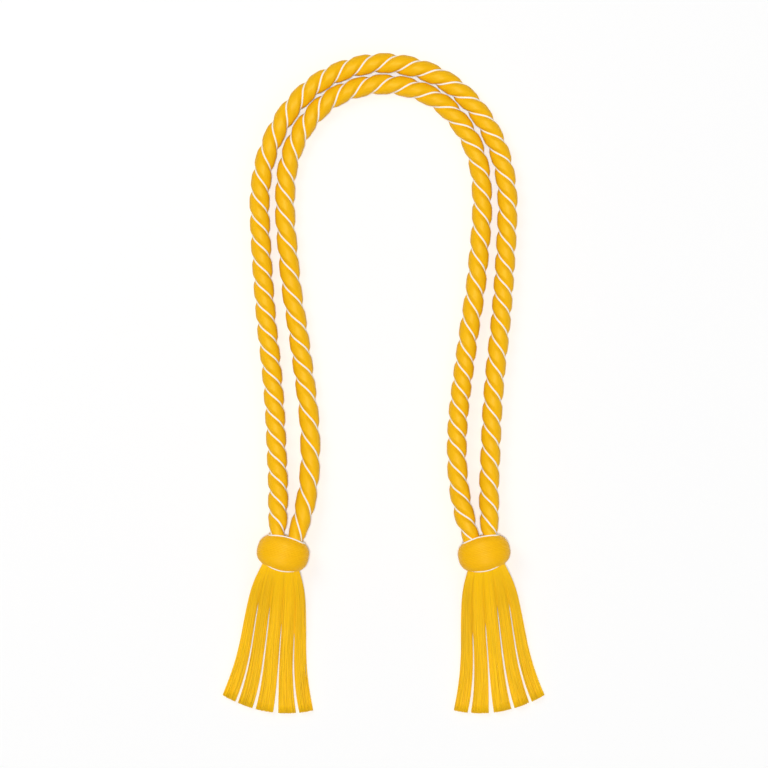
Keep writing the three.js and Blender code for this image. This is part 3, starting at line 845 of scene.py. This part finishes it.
def tassel_mesh(name, side):
    """A tassel as several hundred threads in five locks."""
    sizes = bpy.context.scene.cord_tassels
    rng = np.random.default_rng(TASSEL_SEED + side)
    down = np.concatenate((
        (-NECK_SEAT / sizes.length,),
        np.linspace(0, THREAD_BEND, BEND_ROWS, endpoint=False),
        np.linspace(THREAD_BEND, 1, STRAIGHT_ROWS)))
    half_width = skirt_half(down, sizes)
    thick = sizes.thread / 2 * (THREAD_AT_NECK + (1 - THREAD_AT_NECK) * smoothstep(down))
    turn = 2 * math.pi * np.arange(THREAD_SIDES) / THREAD_SIDES
    edges, opening = lock_edges(down)
    work = YarnWork()

    def wave():
        return np.sin(2 * math.pi * (rng.uniform(*WAVE_COUNT) * down + rng.uniform(0, 1)))

    for i in range(len(edges) - 1):
        left = edges[i] * half_width + opening[i]
        right = edges[i + 1] * half_width - opening[i + 1]
        columns = round((right[-1] - left[-1]) / sizes.thread)
        clump = rng.uniform(0, 2 * math.pi, 3)
        for column in range(columns):
            t = column / (columns - 1)
            tuft = 0.5 + 0.5 * np.sin(TUFTS[0] * t + clump[0]) * np.sin(TUFTS[1] * t + clump[1])
            at_hem = (left[-1] + (right[-1] - left[-1]) * t) / half_width[-1]
            low, high = skirt_surface(np.array([at_hem]), np.array([1.0]), sizes)
            layers = max(3, round((high[0] - low[0]) / (LAYER_STEP * sizes.thread)))
            for layer in range(layers):
                inner = 0 < layer < layers - 1
                stray = rng.uniform(-1, 1) * STRAY_SIDEWAYS[inner] / columns * (0 < column < columns - 1)
                x = left + thick + (right - left - 2 * thick) * (t + stray)
                wave_height = rng.uniform(*WAVE_HEIGHT) * smoothstep(down)
                x = np.clip(x + wave_height * wave(), left + thick * SIDE_ROOM, right - thick * SIDE_ROOM)
                low, high = skirt_surface(x / half_width, down, sizes)
                high = high - TUFT_DEPTH * tuft * smoothstep(2 * down)
                room = np.maximum(high - low - 2 * thick, 0)
                lift = layer / (layers - 1)
                if inner:
                    lift += rng.uniform(-STRAY_UP, STRAY_UP) / layers
                z = low + thick + room * lift
                z = np.maximum(z + wave_height * WAVE_UP * wave(), thick)
                reach = 1 - HEM_CURVE * (x / half_width - HEM_PEAK) ** 2
                trim = 1 - rng.uniform(0, TRIM)
                y = -NECK_DOWN - sizes.length * reach * np.where(down > 0, down * trim, down)
                x, y = turned(-side * x, y, side * TASSEL_TILT)
                line = np.column_stack((side * (KNOT_PLACE[0] + TASSEL_OUT) + x, KNOT_PLACE[1] + y, z))
                up, across = up_and_across(line)
                rings = tube(line, thick, turn + rng.uniform(0, 2 * math.pi), across, up)
                along = down * sizes.length + rng.uniform(0, PATTERN_SHIFT)
                # Painted shade: inner threads are given a darker colour
                work.add(rings, along, 2, tone=rng.uniform(0, 1), hollow=INNER_THREAD_SHADE * inner)
    return work.build(name)


class CORD_OT_tassels(bpy.types.Operator):
    """Comb out both tassels under the knots"""

    bl_idname = "honor_cord.tassels"
    bl_label = "Tassels"

    def execute(self, context):
        finish = yarn_material("Fringe thread", context.scene.cord_colours.thread_gold, furrow=0.12,
                               fibre_length=0.006, patch_length=0.05, relief=0.0002, sheen=0.25)
        for name, side in (("tassel_left", -1), ("tassel_right", 1)):
            show(tassel_mesh(name, side), f"{name}_threads", finish, name)
        return {"FINISHED"}


# Camera and stage

class CORD_OT_camera(bpy.types.Operator):
    """Look straight down on the cord from far above"""

    bl_idname = "honor_cord.camera"
    bl_label = "Camera"

    def execute(self, context):
        camera = bpy.data.objects.new("Camera", bpy.data.cameras.new("Camera"))
        context.scene.collection.objects.link(camera)
        shown = PICTURE_SIDE * MM_PER_PIXEL * MM
        camera.data.lens = camera.data.sensor_width * (CAMERA_HEIGHT - MEASURED_HEIGHT) / shown
        camera.data.clip_end = 100
        half_pixel = 0.5 * MM_PER_PIXEL * MM
        camera.location = (half_pixel, -half_pixel, CAMERA_HEIGHT)
        context.scene.camera = camera
        return {"FINISHED"}


class CORD_OT_stage(bpy.types.Operator):
    """Set a pale floor under the cord and soft studio light over it"""

    bl_idname = "honor_cord.stage"
    bl_label = "Stage"

    def execute(self, context):
        scene = context.scene
        mesh = bpy.data.meshes.new("floor")
        corners = [(x * FLOOR_REACH, y * FLOOR_REACH, -FLOOR_DROP)
                   for x, y in ((-1, -1), (1, -1), (1, 1), (-1, 1))]
        mesh.from_pydata(corners, [], [(0, 1, 2, 3)])
        floor = bpy.data.objects.new("floor", mesh)
        scene.collection.objects.link(floor)
        paper = bpy.data.materials.new("Pale floor")
        paper.use_nodes = True
        feed(paper.node_tree, paper.node_tree.nodes["Principled BSDF"],
             Base_Color=(*scene.cord_colours.floor, 1), Roughness=0.9, Specular_IOR_Level=0.1)
        mesh.materials.append(paper)

        for name, place, size, power, tint in LAMPS:
            lamp = bpy.data.objects.new(name, bpy.data.lights.new(name, "AREA"))
            lamp.data.shape = "DISK"
            lamp.data.size, lamp.data.energy, lamp.data.color = size, power, tint
            lamp.location = place
            lamp.rotation_mode = "QUATERNION"
            lamp.rotation_quaternion = (-lamp.location).to_track_quat("-Z", "Y")
            scene.collection.objects.link(lamp)
        overhead = bpy.data.objects.new("Overhead", bpy.data.lights.new("Overhead", "SUN"))
        overhead.data.energy, overhead.data.angle = 2.45, math.radians(8)
        overhead.rotation_euler = (math.radians(1), math.radians(-1), 0)
        scene.collection.objects.link(overhead)
        world = bpy.data.worlds.new("Studio")
        world.use_nodes = True
        feed(world.node_tree, world.node_tree.nodes["Background"], Color=(1, 1, 1, 1), Strength=0.17)
        scene.world = world
        scene.view_settings.view_transform = "Standard"
        return {"FINISHED"}


class CORD_PT_panel(bpy.types.Panel):
    """Honor cord"""

    bl_idname = "CORD_PT_panel"
    bl_label = "Honor Cord"
    bl_space_type = "VIEW_3D"
    bl_region_type = "UI"
    bl_category = "Honor Cord"

    def draw(self, context):
        scene = context.scene
        for title, group, operator in (
                ("Ropes", scene.cord_ropes, "honor_cord.ropes"),
                ("Knots", scene.cord_knots, "honor_cord.knots"),
                ("Tassels", scene.cord_tassels, "honor_cord.tassels"),
                ("Colours", scene.cord_colours, "honor_cord.stage")):
            box = self.layout.box()
            box.label(text=title)
            for key in group.__annotations__:
                box.prop(group, key)
            box.operator(operator)
        self.layout.operator("honor_cord.camera")


GROUPS = {
    "cord_ropes": RopeSizes,
    "cord_knots": KnotSizes,
    "cord_tassels": TasselSizes,
    "cord_colours": CordColours,
}
CLASSES = (*GROUPS.values(), CORD_OT_camera, CORD_OT_ropes, CORD_OT_knots, CORD_OT_tassels, CORD_OT_stage,
           CORD_PT_panel)


def register():
    for cls in CLASSES:
        bpy.utils.register_class(cls)
    for name, group in GROUPS.items():
        setattr(bpy.types.Scene, name, bpy.props.PointerProperty(type=group))


def unregister():
    for name in GROUPS:
        delattr(bpy.types.Scene, name)
    for cls in reversed(CLASSES):
        bpy.utils.unregister_class(cls)


def main():
    register()
    bpy.ops.honor_cord.camera()
    bpy.ops.honor_cord.ropes()
    bpy.ops.honor_cord.knots()
    bpy.ops.honor_cord.tassels()
    bpy.ops.honor_cord.stage()


if __name__ == "__main__":
    main()
